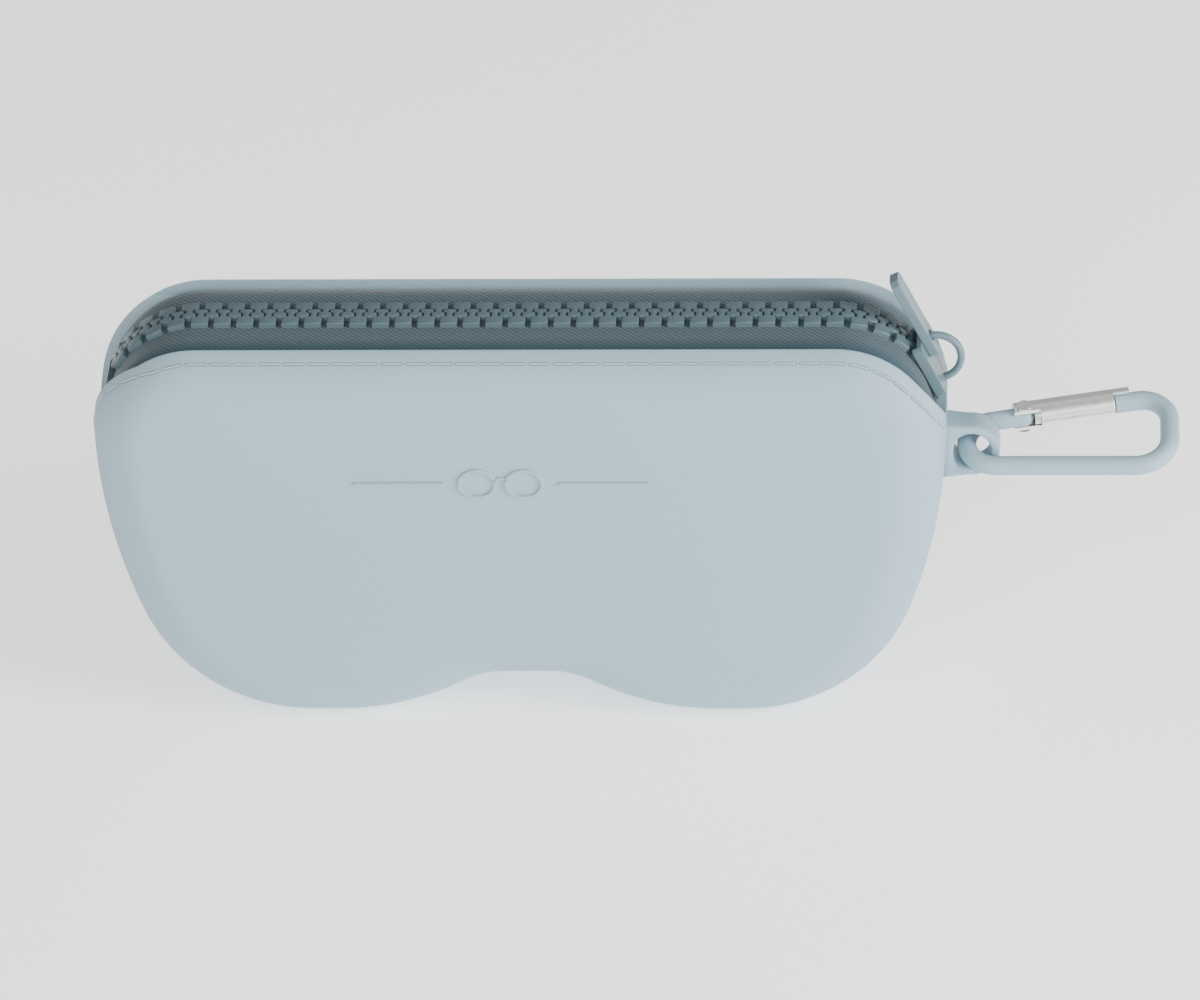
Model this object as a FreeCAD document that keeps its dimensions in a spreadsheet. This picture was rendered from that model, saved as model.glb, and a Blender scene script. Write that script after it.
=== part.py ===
# Soft moulded glasses case with a moulded-tooth zip, a slider and a small spring clip.
# Millimetres. X runs along the zip, Y from front to back, Z up from the two feet.
import FreeCAD, Part
import math
import os
import Sketcher

V = FreeCAD.Vector
doc = FreeCAD.newDocument("glasses_case")

# ---------------------------------------------------------------- dimensions
SIZES = [
    ("case_width", 156.0),
    ("case_height", 79.7),
    ("case_depth", 36.0),
    ("edge_round", 10.0),
    ("corner_radius", 20.0),
    ("side_radius", 110.0),
    ("lobe_outer_radius", 33.0),
    ("lobe_inner_radius", 47.4),
    ("lobe_inner_centre", 35.0),
    ("notch_radius", 15.0),
    ("notch_height", 8.25),
    ("wall", 2.0),
    ("tape_thickness", 0.8),
    ("tape_half_width", 15.4),
    ("tape_edge", 1.4),
    ("tape_clearance", 0.02),
    ("slot_half_width", 13.0),
    ("slot_end_height", 59.2),
    ("slot_taper_radius", 8.5),
    ("slot_taper_height", 75.0),
    ("seam_half_width", 15.2),
    ("thread_radius", 0.28),
    ("stitch_pitch", 4.46),
    ("stitch_length", 3.5),
    ("tooth_pitches", 28),
    ("tooth_width", 3.0),
    ("tooth_reach", 3.9),
    ("tooth_above", 1.05),
    ("tooth_below", 0.8),
    ("emblem_height", 0.4),
    ("loop_centre_x", 82.6),
    ("loop_centre_z", 50.8),
    ("loop_outer_radius", 5.2),
    ("loop_hole_radius", 3.4),
    ("loop_depth", 6.0),
    ("slider_angle", 64.0),
    ("plate_thickness", 0.95),
    ("crown_radius", 4.5),
    ("crown_offset", -0.6),
    ("crown_wire_radius", 0.7),
    ("pull_length", 17.0),
    ("pull_width", 4.8),
    ("pull_thickness", 1.6),
    ("clip_tilt", 19.0),
    ("clip_wire_radius", 1.775),
    ("clip_spine_offset", 5.35),
    ("clip_length", 37.2),
    ("clip_gate_slope", 10.5),
    ("gate_outer_radius", 2.85),
    ("gate_inner_radius", 2.05),
    ("gate_length", 21.6),
    ("rivet_radius", 0.75),
    ("middle_shift", -21.29),
]
sheet = doc.addObject("Spreadsheet::Sheet", "Sizes")
for row, (alias, value) in enumerate(SIZES, start=1):
    sheet.set("A%d" % row, alias)
    sheet.set("B%d" % row, str(value))
    sheet.setAlias("B%d" % row, alias)
doc.recompute()
D = {alias: float(sheet.get(alias)) for alias, value in SIZES}

SHIFT = V(D["middle_shift"], 0, 0)
CORNER_X = D["case_width"] / 2 - D["corner_radius"]
CORNER_Z = D["case_height"] - D["corner_radius"]
TAPE_TOP_R = D["corner_radius"] - D["wall"]
TAPE_MID_R = TAPE_TOP_R - D["tape_thickness"] / 2


def drive(obj, prop, expression):
    """Tie one property to the sheet."""
    obj.setExpression(prop, expression)


def about_y(x, z, angle):
    """Placement of something made about the origin and turned about Y at (x, z)."""
    return FreeCAD.Placement(V(x, 0, z), FreeCAD.Rotation(V(0, 1, 0), angle))


def moved(placement):
    """A placement carried along with the whole case's shift along X."""
    return FreeCAD.Placement(SHIFT, FreeCAD.Rotation()).multiply(placement)


def new_body(name):
    body = doc.addObject("PartDesign::Body", name)
    body.AllowCompound = True
    return body


def body_plane(body, role):
    return [o for o in body.Origin.OriginFeatures if o.Role == role][0]


def new_sketch(body, name, role, offset=None):
    """A sketch lying flat on one of the body's own origin planes."""
    sketch = body.newObject("Sketcher::SketchObject", name)
    sketch.AttachmentSupport = (body_plane(body, role), [""])
    sketch.MapMode = "FlatFace"
    if offset is not None:
        sketch.AttachmentOffset = offset
    return sketch


def polygon(sketch, points):
    """A closed polygon with its corners pinned by distances from the origin."""
    count = len(points)
    first = len(sketch.Geometry)
    for i in range(count):
        start = V(points[i][0], points[i][1], 0)
        end = V(points[(i + 1) % count][0], points[(i + 1) % count][1], 0)
        sketch.addGeometry(Part.LineSegment(start, end), False)
    for i in range(count):
        here = first + i
        after = first + (i + 1) % count
        sketch.addConstraint(Sketcher.Constraint("Coincident", here, 2, after, 1))
        sketch.addConstraint(Sketcher.Constraint("DistanceX", -1, 1, here, 1, points[i][0]))
        sketch.addConstraint(Sketcher.Constraint("DistanceY", -1, 1, here, 1, points[i][1]))


def circle(sketch, x, y, radius, expression=None):
    index = sketch.addGeometry(Part.Circle(V(x, y, 0), V(0, 0, 1), radius), False)
    sketch.addConstraint(Sketcher.Constraint("DistanceX", -1, 1, index, 3, x))
    sketch.addConstraint(Sketcher.Constraint("DistanceY", -1, 1, index, 3, y))
    which = sketch.addConstraint(Sketcher.Constraint("Radius", index, radius))
    if expression:
        drive(sketch, "Constraints[%d]" % which, expression)
    return index


def pad(body, name, sketch, length, expression=None, midplane=False, reverse=False):
    feature = body.newObject("PartDesign::Pad", name)
    feature.Profile = sketch
    feature.Length = length
    feature.Midplane = midplane
    feature.Reversed = reverse
    if expression:
        drive(feature, "Length", expression)
    sketch.Visibility = False
    body.Tip = feature
    return feature


def pocket(body, name, sketch, length, reverse=False):
    feature = body.newObject("PartDesign::Pocket", name)
    feature.Profile = sketch
    feature.Length = length
    feature.Reversed = reverse
    sketch.Visibility = False
    body.Tip = feature
    return feature


def boolean(kind, name, base, tool):
    feature = doc.addObject("Part::" + kind, name)
    feature.Base = base
    feature.Tool = tool
    return feature


def fuse(name, shapes):
    feature = doc.addObject("Part::MultiFuse", name)
    feature.Shapes = shapes
    return feature


# ---------------------------------------------------------------- case shell
def outline(sketch, inset, minus):
    """Right half of the two-lobed front outline, pulled in by inset all round."""
    width = D["case_width"] / 2 - inset
    top = D["case_height"] - inset
    corner = D["corner_radius"] - inset
    side = D["side_radius"] - inset
    outer = D["lobe_outer_radius"] - inset
    inner = D["lobe_inner_radius"] - inset
    notch = D["notch_radius"] + inset
    floor = D["notch_height"] + inset
    side_x = D["case_width"] / 2 - D["side_radius"]
    sink = CORNER_Z - D["lobe_outer_radius"]
    lean = math.asin(sink / (D["side_radius"] - D["lobe_outer_radius"]))
    lobe_x = side_x + (D["side_radius"] - D["lobe_outer_radius"]) * math.cos(lean)
    both = D["lobe_inner_radius"] + D["notch_radius"]
    drop = both - D["notch_height"]
    half = D["lobe_inner_centre"] - math.sqrt(both ** 2 - drop ** 2)
    rise = math.atan2(drop, D["lobe_inner_centre"] - half)
    quarter = math.pi / 2

    def arc(x, z, radius, start, end):
        ring = Part.Circle(V(x, z, 0), V(0, 0, 1), radius)
        return Part.ArcOfCircle(ring, start, end)

    lobe_z = D["lobe_inner_radius"]
    notch_z = D["notch_height"] - D["notch_radius"]
    sketch.addGeometry(
        [
            Part.LineSegment(V(0, top, 0), V(CORNER_X, top, 0)),
            arc(CORNER_X, CORNER_Z, corner, 0, quarter),
            arc(side_x, CORNER_Z, side, -lean, 0),
            arc(lobe_x, D["lobe_outer_radius"], outer, -quarter, -lean),
            Part.LineSegment(V(D["lobe_inner_centre"], inset, 0), V(lobe_x, inset, 0)),
            arc(D["lobe_inner_centre"], lobe_z, inner, rise - math.pi, -quarter),
            arc(half, notch_z, notch, rise, quarter),
            Part.LineSegment(V(0, floor, 0), V(half, floor, 0)),
            Part.LineSegment(V(0, floor, 0), V(0, top, 0)),
        ],
        False,
    )
    joins = [(0, 2, 1, 2), (1, 1, 2, 2), (2, 1, 3, 2), (3, 1, 4, 2), (4, 1, 5, 2)]
    joins += [(5, 1, 6, 1), (6, 2, 7, 2)]
    for join in joins:
        sketch.addConstraint(Sketcher.Constraint("Tangent", *join))
    sketch.addConstraint(Sketcher.Constraint("Coincident", 7, 1, 8, 1))
    sketch.addConstraint(Sketcher.Constraint("Coincident", 8, 2, 0, 1))
    sketch.addConstraint(Sketcher.Constraint("PointOnObject", 8, 1, -2))
    sketch.addConstraint(Sketcher.Constraint("Vertical", 8))
    for line in (0, 4, 7):
        sketch.addConstraint(Sketcher.Constraint("Horizontal", line))
    sketch.addConstraint(Sketcher.Constraint("Horizontal", 1, 1, 1, 3))

    def sized(kind, args, value, expression):
        which = sketch.addConstraint(Sketcher.Constraint(kind, *args, value))
        drive(sketch, "Constraints[%d]" % which, expression)

    sized("DistanceY", (-1, 1, 0, 1), top, "Sizes.case_height - " + minus)
    sized("DistanceX", (-1, 1, 1, 1), width, "Sizes.case_width / 2 - " + minus)
    sized("Radius", (1,), corner, "Sizes.corner_radius - " + minus)
    sized("Radius", (2,), side, "Sizes.side_radius - " + minus)
    sized("Radius", (3,), outer, "Sizes.lobe_outer_radius - " + minus)
    sized("Radius", (5,), inner, "Sizes.lobe_inner_radius - " + minus)
    sized("Radius", (6,), notch, "Sizes.notch_radius + " + minus)
    sized("DistanceX", (-1, 1, 5, 3), D["lobe_inner_centre"], "Sizes.lobe_inner_centre")
    sized("DistanceY", (-1, 1, 7, 1), floor, "Sizes.notch_height + " + minus)
    if inset:
        sized("DistanceY", (-1, 1, 4, 1), inset, minus)
    else:
        sketch.addConstraint(Sketcher.Constraint("PointOnObject", 4, 1, -1))


def rounded_solid(name, inset, minus):
    """The case's whole outer form, pulled in by inset, with its front and back edges rounded."""
    body = new_body(name)
    sketch = new_sketch(body, name + "_outline", "XZ_Plane")
    outline(sketch, inset, minus)
    depth = D["case_depth"] - 2 * inset
    pad(body, name + "_pad", sketch, depth, "Sizes.case_depth - 2 * (" + minus + ")", True)
    mirror = body.newObject("PartDesign::Mirrored", name + "_mirror")
    mirror.Originals = [body.Tip]
    mirror.MirrorPlane = (body_plane(body, "YZ_Plane"), [""])
    body.Tip = mirror
    doc.recompute()
    edges = []
    for i, edge in enumerate(mirror.Shape.Edges, start=1):
        box = edge.BoundBox
        if box.YLength < 1e-6 and abs(abs(box.YMin) - depth / 2) < 1e-6:
            edges.append("Edge%d" % i)
    round_over = body.newObject("PartDesign::Fillet", name + "_round")
    round_over.Base = (mirror, edges)
    round_over.Radius = D["edge_round"] - inset
    drive(round_over, "Radius", "Sizes.edge_round - (" + minus + ")")
    body.Tip = round_over
    doc.recompute()
    return body


shell_outer = rounded_solid("shell_outer", 0, "0")
cavity = rounded_solid("cavity", D["wall"], "Sizes.wall")
tape_under = rounded_solid(
    "tape_under", D["wall"] + D["tape_thickness"], "(Sizes.wall + Sizes.tape_thickness)"
)


# ---------------------------------------------------------------- zip opening
def prism(name, half, bottom, reverse, taper=None):
    """A straight-sided opening with a round lower end, run from the middle out to one side."""
    body = new_body(name)
    sketch = new_sketch(body, name + "_profile", "YZ_Plane")
    top = D["case_height"] + 6
    radius = taper[0] if taper else half
    centre = bottom + radius
    shoulder = taper[1] if taper else centre
    if taper:
        span = math.hypot(half, shoulder - centre)
        start = math.atan2(shoulder - centre, half) - math.acos(radius / span)
    else:
        start = 0
    ring = Part.Circle(V(0, centre, 0), V(0, 0, 1), radius)
    right = V(radius * math.cos(start), centre + radius * math.sin(start), 0)
    left = V(-right.x, right.y, 0)
    corners = [left, V(-half, shoulder, 0), V(-half, top, 0), V(half, top, 0)]
    corners += [V(half, shoulder, 0), right]
    if not taper:
        corners = [left, V(-half, top, 0), V(half, top, 0), right]
    sketch.addGeometry(Part.ArcOfCircle(ring, math.pi - start, 2 * math.pi + start), False)
    for here, after in zip(corners, corners[1:]):
        sketch.addGeometry(Part.LineSegment(here, after), False)
    last = len(corners) - 1
    for i in range(1, last):
        sketch.addConstraint(Sketcher.Constraint("Coincident", i, 2, i + 1, 1))
    sketch.addConstraint(Sketcher.Constraint("Tangent", 0, 1, 1, 1))
    sketch.addConstraint(Sketcher.Constraint("Tangent", last, 2, 0, 2))
    sketch.addConstraint(Sketcher.Constraint("PointOnObject", 0, 3, -2))
    sketch.addConstraint(Sketcher.Constraint("DistanceY", -1, 1, 0, 3, centre))
    if taper:
        sketch.addConstraint(Sketcher.Constraint("Radius", 0, radius))
        for i, corner in ((2, corners[1]), (5, corners[4])):
            sketch.addConstraint(Sketcher.Constraint("DistanceX", -1, 1, i, 1, corner.x))
            sketch.addConstraint(Sketcher.Constraint("DistanceY", -1, 1, i, 1, corner.y))
        sketch.addConstraint(Sketcher.Constraint("Horizontal", 3))
        sketch.addConstraint(Sketcher.Constraint("Vertical", 2))
        sketch.addConstraint(Sketcher.Constraint("Vertical", 4))
        sketch.addConstraint(Sketcher.Constraint("DistanceY", -1, 1, 3, 1, top))
    else:
        sketch.addConstraint(Sketcher.Constraint("Vertical", 1))
        sketch.addConstraint(Sketcher.Constraint("Vertical", 3))
        sketch.addConstraint(Sketcher.Constraint("Horizontal", 2))
        sketch.addConstraint(Sketcher.Constraint("DistanceY", -1, 1, 2, 1, top))
        sketch.addConstraint(Sketcher.Constraint("DistanceX", -1, 1, 2, 2, half))
    pad(body, name + "_pad", sketch, D["case_width"] / 2 + 12, None, False, reverse)
    doc.recompute()
    return body


slot_bottom = D["slot_end_height"]
slot_right = prism("slot_right", D["slot_half_width"], slot_bottom, False)
slot_left = prism(
    "slot_left",
    D["slot_half_width"],
    slot_bottom,
    True,
    (D["slot_taper_radius"], D["slot_taper_height"]),
)
tape_bottom = slot_bottom - 5.6
tape_right = prism("tape_right", D["tape_half_width"], tape_bottom, False)
tape_left = prism("tape_left", D["tape_half_width"], tape_bottom, True)


# ---------------------------------------------------------------- seam path
def surface_point(side, turn, across):
    """Point and outward normal on the rounded top edge: turn runs down round the corner,
    across is the signed distance from the middle plane."""
    flat = D["case_depth"] / 2 - D["edge_round"]
    over = max(0.0, abs(across) - flat) / D["edge_round"]
    lean = math.asin(min(1.0, over))
    reach = D["corner_radius"] - D["edge_round"] * (1 - math.cos(lean))
    out = V(side * math.sin(turn), 0, math.cos(turn))
    point = V(side * CORNER_X, across, CORNER_Z) + out * reach
    normal = out * math.cos(lean) + V(0, math.copysign(math.sin(lean), across), 0)
    return point, normal


def below_corner(side, height, across):
    """The same for the side wall just under the corner."""
    fall = height - CORNER_Z
    reach = math.sqrt(D["side_radius"] ** 2 - fall ** 2)
    x = D["case_width"] / 2 - D["side_radius"] + reach
    normal = V(side * reach, 0, fall)
    normal.normalize()
    return V(side * x, across, height), normal


def seam_end(side, sign):
    """Seam points and normals round one end, from the top down to the middle plane."""
    half = D["seam_half_width"]
    low = slot_bottom - 2.8
    end_half = D["slot_taper_radius"] + 2.8 if side < 0 else half
    centre = low + end_half
    shoulder = D["slot_taper_height"]
    points = []
    for step in range(1, 40):
        turn = math.radians(2.5 * step)
        across = half
        for _ in range(30):
            point, normal = surface_point(side, turn, sign * across)
            if point.z >= shoulder or (side > 0 and point.z >= centre):
                wanted = half
            elif point.z >= centre:
                part = (shoulder - point.z) / (shoulder - centre)
                wanted = half + (end_half - half) * part
            else:
                wanted = math.sqrt(max(0.0, end_half ** 2 - (centre - point.z) ** 2))
            across += 0.5 * (wanted - across)
        if across < 6.0 or point.z < CORNER_Z:
            break
        points.append((point, normal))
    for across in (5.0, 3.2, 1.5, 0.4):
        height = centre - math.sqrt(end_half ** 2 - across ** 2)
        if height < CORNER_Z:
            points.append(below_corner(side, height, sign * across))
    return points


def seam_line(sign):
    """Points and normals of one seam, from the left end over the top to the right end."""
    left = seam_end(-1, sign)
    right = seam_end(1, sign)
    corners = []
    for side in (-1, 1):
        corners.append(surface_point(side, 0.0, sign * D["seam_half_width"]))
    return list(reversed(left)) + corners + right


def at_distance(line, wanted):
    """The point and normal a given way along the seam."""
    for (here, normal), (after, other) in zip(line, line[1:]):
        length = (after - here).Length
        if wanted <= length:
            share = wanted / length
            return here + (after - here) * share, normal + (other - normal) * share
        wanted -= length
    return line[-1]


threads = []
for sign, side_name in ((-1, "front"), (1, "back")):
    line = seam_line(sign)
    total = sum((b[0] - a[0]).Length for a, b in zip(line, line[1:]))
    count = int((total - D["stitch_length"]) / D["stitch_pitch"]) + 1
    first = (total - (count - 1) * D["stitch_pitch"] - D["stitch_length"]) / 2
    rods = []
    for i in range(count):
        start = first + i * D["stitch_pitch"]
        ends = []
        for distance in (start, start + D["stitch_length"]):
            point, normal = at_distance(line, distance)
            normal.normalize()
            ends.append(point + normal * (D["thread_radius"] + 0.12))
        way = ends[1] - ends[0]
        rods.append(Part.makeCylinder(D["thread_radius"], way.Length, ends[0], way))
    thread = doc.addObject("Part::Feature", side_name + "_seam_thread")
    thread.Shape = Part.makeCompound(rods)
    threads.append(thread)

# ---------------------------------------------------------------- clip loop and emblem
loop = new_body("clip_loop")
loop_sketch = new_sketch(loop, "loop_profile", "XZ_Plane")
loop_x = D["loop_centre_x"]
loop_z = D["loop_centre_z"]
loop_r = D["loop_outer_radius"]
inner_x = D["case_width"] / 2 - 1.6
ends = [V(loop_x, loop_z - loop_r, 0), V(inner_x, loop_z - loop_r, 0)]
ends += [V(inner_x, loop_z + loop_r, 0), V(loop_x, loop_z + loop_r, 0)]
loop_ring = Part.Circle(V(loop_x, loop_z, 0), V(0, 0, 1), loop_r)
loop_sketch.addGeometry(Part.ArcOfCircle(loop_ring, -math.pi / 2, math.pi / 2), False)
for here, after in ((ends[0], ends[1]), (ends[1], ends[2]), (ends[2], ends[3])):
    loop_sketch.addGeometry(Part.LineSegment(here, after), False)
loop_sketch.addConstraint(Sketcher.Constraint("Tangent", 0, 1, 1, 1))
loop_sketch.addConstraint(Sketcher.Constraint("Coincident", 1, 2, 2, 1))
loop_sketch.addConstraint(Sketcher.Constraint("Coincident", 2, 2, 3, 1))
loop_sketch.addConstraint(Sketcher.Constraint("Tangent", 3, 2, 0, 2))
loop_sketch.addConstraint(Sketcher.Constraint("Horizontal", 1))
loop_sketch.addConstraint(Sketcher.Constraint("Vertical", 2))
loop_sketch.addConstraint(Sketcher.Constraint("Horizontal", 3))
loop_sketch.addConstraint(Sketcher.Constraint("DistanceX", -1, 1, 0, 3, loop_x))
loop_sketch.addConstraint(Sketcher.Constraint("DistanceY", -1, 1, 0, 3, loop_z))
loop_sketch.addConstraint(Sketcher.Constraint("DistanceX", -1, 1, 2, 1, inner_x))
loop_size = loop_sketch.addConstraint(Sketcher.Constraint("Radius", 0, loop_r))
drive(loop_sketch, "Constraints[%d]" % loop_size, "Sizes.loop_outer_radius")
circle(loop_sketch, loop_x, loop_z, D["loop_hole_radius"], "Sizes.loop_hole_radius")
pad(loop, "loop_pad", loop_sketch, D["loop_depth"], "Sizes.loop_depth", True)

emblem = new_body("emblem")
emblem_at = FreeCAD.Placement(V(0, 0, D["case_depth"] / 2 - 0.4), FreeCAD.Rotation())
emblem_sketch = new_sketch(emblem, "emblem_profile", "XZ_Plane", emblem_at)
EMBLEM_X = -3.0
EMBLEM_Z = 53.0
LENS_GAP = 4.3
for lens in (-1, 1):
    circle(emblem_sketch, EMBLEM_X + lens * LENS_GAP, EMBLEM_Z, 3.4)
    circle(emblem_sketch, EMBLEM_X + lens * LENS_GAP, EMBLEM_Z, 2.7)
bar = 0.35
polygon(
    emblem_sketch,
    [
        (EMBLEM_X - 0.85, EMBLEM_Z + 0.4),
        (EMBLEM_X + 0.85, EMBLEM_Z + 0.4),
        (EMBLEM_X + 0.85, EMBLEM_Z + 0.4 + 2 * bar),
        (EMBLEM_X - 0.85, EMBLEM_Z + 0.4 + 2 * bar),
    ],
)
for lens in (-1, 1):
    near = EMBLEM_X + lens * 10.5
    far = EMBLEM_X + lens * 27.0
    polygon(
        emblem_sketch,
        [
            (min(near, far), EMBLEM_Z - bar),
            (max(near, far), EMBLEM_Z - bar),
            (max(near, far), EMBLEM_Z + bar),
            (min(near, far), EMBLEM_Z + bar),
        ],
    )
emblem_out = 0.4 + D["emblem_height"]
pad(emblem, "emblem_pad", emblem_sketch, emblem_out, "0.4 + Sizes.emblem_height")
doc.recompute()

shell_whole = fuse("shell_whole", [shell_outer, loop, emblem])
shell_hollow = boolean("Cut", "shell_hollow", shell_whole, cavity)
shell_slot_a = boolean("Cut", "shell_slot_a", shell_hollow, slot_right)
silicone_body = boolean("Cut", "silicone_body", shell_slot_a, slot_left)
doc.recompute()

# ---------------------------------------------------------------- zip tapes
tape_skin = boolean("Cut", "tape_skin", cavity, tape_under)
tape_region = fuse("tape_region", [tape_right, tape_left])
tape_both = boolean("Common", "tape_both", tape_skin, tape_region)


def half_space(name, sign):
    """A box covering everything on one side of the gap between the tapes."""
    box = doc.addObject("Part::Box", name)
    box.Length = D["case_width"] + 20
    box.Width = D["case_depth"]
    box.Height = D["case_height"] + 20
    start = D["tape_edge"] if sign > 0 else -D["tape_edge"] - D["case_depth"]
    box.Placement.Base = V(-D["case_width"] / 2 - 10, start, 0)
    return box


front_tape = boolean("Common", "front_zip_tape", tape_both, half_space("front_half", -1))
back_tape = boolean("Common", "back_zip_tape", tape_both, half_space("back_half", 1))
doc.recompute()


# ---------------------------------------------------------------- zip teeth
PITCH = 2 * CORNER_X / D["tooth_pitches"]
TURN = math.degrees(PITCH / TAPE_MID_R)
TOOTH_LOW = TAPE_TOP_R - D["tape_thickness"] - D["tooth_below"]
TOOTH_HEIGHT = D["tooth_below"] + D["tape_thickness"] + D["tooth_above"]
NECK = 0.55
HEAD = 1.15
HEAD_START = 0.15
HEAD_END = 1.35
BASE_END = 1.6


def racetrack(name, radius):
    """A plate bounded by a straight run along the top and a quarter turn round each corner."""
    middle = doc.addObject("Part::Box", name + "_middle")
    middle.Length = 2 * CORNER_X
    middle.Width = 20
    middle.Height = radius
    middle.Placement.Base = V(-CORNER_X, -10, CORNER_Z)
    pieces = [middle]
    for side in (-1, 1):
        quarter = doc.addObject("Part::Cylinder", "%s_quarter_%d" % (name, side + 2))
        quarter.Radius = radius
        quarter.Height = 20
        quarter.Angle = 90
        spin = FreeCAD.Rotation(V(0, 0, 1), 90 if side < 0 else 0)
        turn = FreeCAD.Rotation(V(1, 0, 0), 90).multiply(spin)
        quarter.Placement = FreeCAD.Placement(V(side * CORNER_X, 10, CORNER_Z), turn)
        pieces.append(quarter)
    return fuse(name, pieces)


def gap_slab(name, half):
    """The gap between the two tapes, along the whole zip."""
    slab = doc.addObject("Part::Box", name)
    slab.Length = D["case_width"] + 20
    slab.Width = 2 * half
    slab.Height = D["case_height"] + 20
    slab.Placement.Base = V(-D["case_width"] / 2 - 10, -half, 0)
    return slab


ROOM = D["tape_clearance"]
room_outer = racetrack("room_outer", TAPE_TOP_R + ROOM)
room_inner = racetrack("room_inner", TAPE_TOP_R - D["tape_thickness"] - ROOM)
room_ring = boolean("Cut", "room_ring", room_outer, room_inner)
tape_room = boolean("Cut", "tape_room", room_ring, gap_slab("room_gap", D["tape_edge"] - ROOM))
doc.recompute()


def tooth_plan(sign):
    """Base, neck and head of one tooth; sign says which tape it grows from."""
    wide = D["tooth_width"] / 2
    right = [(wide, D["tooth_reach"]), (wide, BASE_END), (NECK, BASE_END)]
    right += [(NECK, -HEAD_START), (HEAD, -HEAD_START), (HEAD, -HEAD_END)]
    left = [(-x, y) for x, y in reversed(right)]
    return [(x, y * sign) for x, y in right + left]


def teeth_row(name, sign, offset):
    """All the teeth of one tape: a straight run, then a run round each corner."""
    body = new_body(name + "_blank")

    def tooth(label, x, angle):
        turn = FreeCAD.Rotation(V(0, 1, 0), angle)
        lift = turn.multVec(V(0, 0, TOOTH_LOW))
        place = FreeCAD.Placement(V(x, 0, CORNER_Z) + lift, turn)
        sketch = new_sketch(body, label + "_plan", "XY_Plane", place)
        polygon(sketch, tooth_plan(sign))
        return pad(body, label, sketch, TOOTH_HEIGHT)

    first = tooth(name + "_run", -CORNER_X + PITCH * (1 - offset), 0)
    run = body.newObject("PartDesign::LinearPattern", name + "_run_pattern")
    run.Originals = [first]
    run.Direction = (body_plane(body, "YZ_Plane"), [""])
    run.Occurrences = int(D["tooth_pitches"]) - 1 + int(round(2 * offset))
    run.Length = PITCH * (run.Occurrences - 1)
    body.Tip = run
    doc.recompute()
    for side in (-1, 1):
        label = name + ("_left" if side < 0 else "_right")
        start = tooth(label, side * CORNER_X, side * TURN * offset)
        axis = body.newObject("PartDesign::Line", label + "_axis")
        axis.Placement = FreeCAD.Placement(
            V(side * CORNER_X, 0, CORNER_Z), FreeCAD.Rotation(V(1, 0, 0), -90)
        )
        ring = body.newObject("PartDesign::PolarPattern", label + "_pattern")
        ring.Originals = [start]
        ring.Axis = (axis, [""])
        ring.Occurrences = 5
        ring.Angle = TURN * 4
        ring.Reversed = side < 0
        body.Tip = ring
        doc.recompute()
    return boolean("Cut", name, body, tape_room)


front_teeth = teeth_row("front_zip_teeth", -1, 0.0)
back_teeth = teeth_row("back_zip_teeth", 1, 0.5)
doc.recompute()


# ---------------------------------------------------------------- zip stops
def stop(name, side, angle, near, far, length):
    """A small clip closed round the edge of the tapes it sits on."""
    box = doc.addObject("Part::Box", name + "_blank")
    box.Length = length
    box.Width = far - near
    box.Height = TOOTH_HEIGHT - 0.1
    turned = about_y(side * CORNER_X, CORNER_Z, side * angle)
    local = FreeCAD.Placement(V(-length / 2, near, TOOTH_LOW + 0.05), FreeCAD.Rotation())
    box.Placement = turned.multiply(local)
    return boolean("Cut", name, box, tape_room)


STOP_TURN = D["slider_angle"] + 14.0
front_stop = stop("front_top_stop", 1, STOP_TURN, -4.1, -0.95, 2.0)
back_stop = stop("back_top_stop", 1, STOP_TURN, 0.95, 4.1, 2.0)
bottom_stop = stop("bottom_stop", -1, 73.0, -3.7, 3.7, 3.0)

# ---------------------------------------------------------------- slider
SLIDER_AT = about_y(CORNER_X, CORNER_Z, D["slider_angle"])
PLATE_LOW = TAPE_TOP_R + D["tooth_above"] + 0.1
PLATE_TOP = PLATE_LOW + D["plate_thickness"]
FLANGE_LOW = TAPE_TOP_R + 0.2
UNDER_TOP = TOOTH_LOW - 0.5
UNDER_LOW = UNDER_TOP - 1.7
slider_plan = [(-5.8, 4.3), (-5.2, 4.9), (-0.8, 4.9), (2.4, 5.2), (4.2, 5.2), (4.8, 4.6)]
slider_plan += [(x, -y) for x, y in reversed(slider_plan)]
channel_plan = [(-7.0, 4.1), (-0.8, 4.1), (2.4, 4.45), (7.0, 4.45)]
channel_plan += [(x, -y) for x, y in reversed(channel_plan)]


def lifted(height):
    return FreeCAD.Placement(V(0, 0, height), FreeCAD.Rotation())


slider_blank = new_body("slider_blank")
top_sketch = new_sketch(slider_blank, "top_plan", "XY_Plane", lifted(FLANGE_LOW))
polygon(top_sketch, slider_plan)
pad(slider_blank, "top_block", top_sketch, PLATE_TOP - FLANGE_LOW)
under_sketch = new_sketch(slider_blank, "under_plan", "XY_Plane", lifted(UNDER_LOW))
polygon(under_sketch, slider_plan)
pad(slider_blank, "under_block", under_sketch, UNDER_TOP - UNDER_LOW)
way_sketch = new_sketch(slider_blank, "way_plan", "XY_Plane", lifted(PLATE_LOW))
polygon(way_sketch, channel_plan)
pocket(slider_blank, "way", way_sketch, PLATE_LOW - UNDER_LOW - 0.9)
post_sketch = new_sketch(slider_blank, "post_plan", "XY_Plane", lifted(UNDER_LOW + 0.5))
polygon(post_sketch, [(1.0, 0), (2.4, 0.8), (4.0, 0.8), (4.6, 0), (4.0, -0.8), (2.4, -0.8)])
pad(slider_blank, "post", post_sketch, PLATE_LOW - UNDER_LOW)
doc.recompute()

CROWN_X = D["crown_offset"]
CROWN_RISE = 0.5
LEG_SINK = 0.6


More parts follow.
